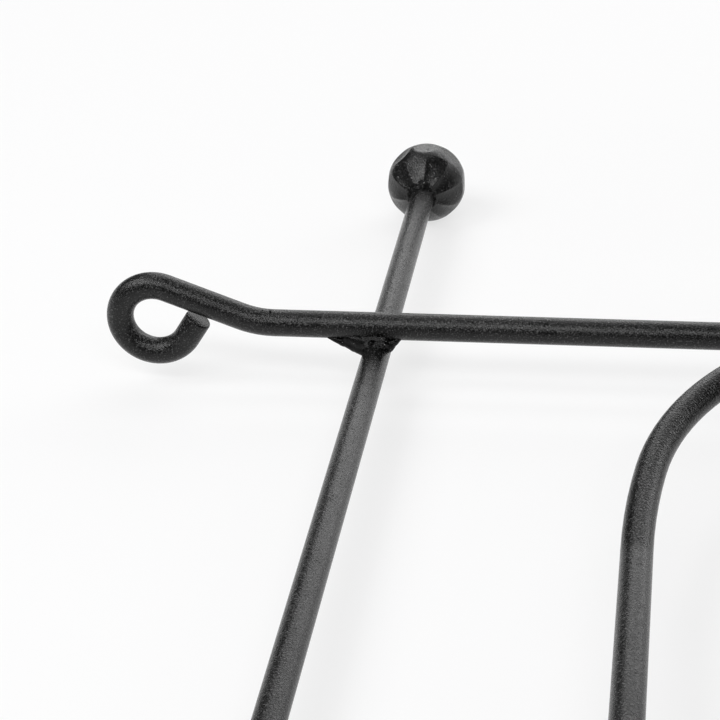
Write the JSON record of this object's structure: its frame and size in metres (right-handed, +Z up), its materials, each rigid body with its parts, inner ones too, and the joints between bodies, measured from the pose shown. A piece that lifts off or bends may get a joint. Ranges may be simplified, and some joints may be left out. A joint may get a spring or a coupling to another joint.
{
  "type": "mug tree",
  "caption": "Free-standing mug tree welded from black round rod: rails on ball feet, eye-ended cross bars, a bent arch, and a post with eye-ended arms.",
  "frame": {"origin": "on the table, under the middle of the base and the centre post", "axes": "+Z up along the centre post, +Y from the front cross bar to the rear one, +X to the right across the base"},
  "size_m": [0.2912, 0.2992, 0.3395],
  "materials": {
    "rod": "fine-grained matt black powder coat on drawn steel rod",
    "forged": "hammered steel under matt black powder coat",
    "weld": "lumpy weld metal under matt black powder coat"
  },
  "bodies": {
    "root": {"arch_stretcher": "rod", "arch_welds": "weld", "arm_lower_1": "rod", "arm_lower_2": "rod", "arm_lower_3": "rod", "arm_lower_4": "rod", "arm_upper_1": "rod", "arm_upper_2": "rod", "arm_upper_3": "rod", "arm_upper_4": "rod", "arm_welds_lower": "weld", "arm_welds_upper": "weld", "brace_foot_welds": "weld", "brace_front_left": "rod", "brace_front_right": "rod", "brace_rear_left": "rod", "brace_rear_right": "rod", "brace_top_welds": "weld", "centre_post": "rod", "crossing_welds": "weld", "finial_ball": "forged", "finial_weld": "weld", "foot_ball_front_left": "forged", "foot_ball_front_right": "forged", "foot_ball_rear_left": "forged", "foot_ball_rear_right": "forged", "foot_ball_welds": "weld", "front_cross_bar": "rod", "left_runner": "rod", "post_weld": "weld", "rear_cross_bar": "rod", "right_runner": "rod", "spine_bar": "rod", "spine_welds": "weld"}
  },
  "joints": []
}
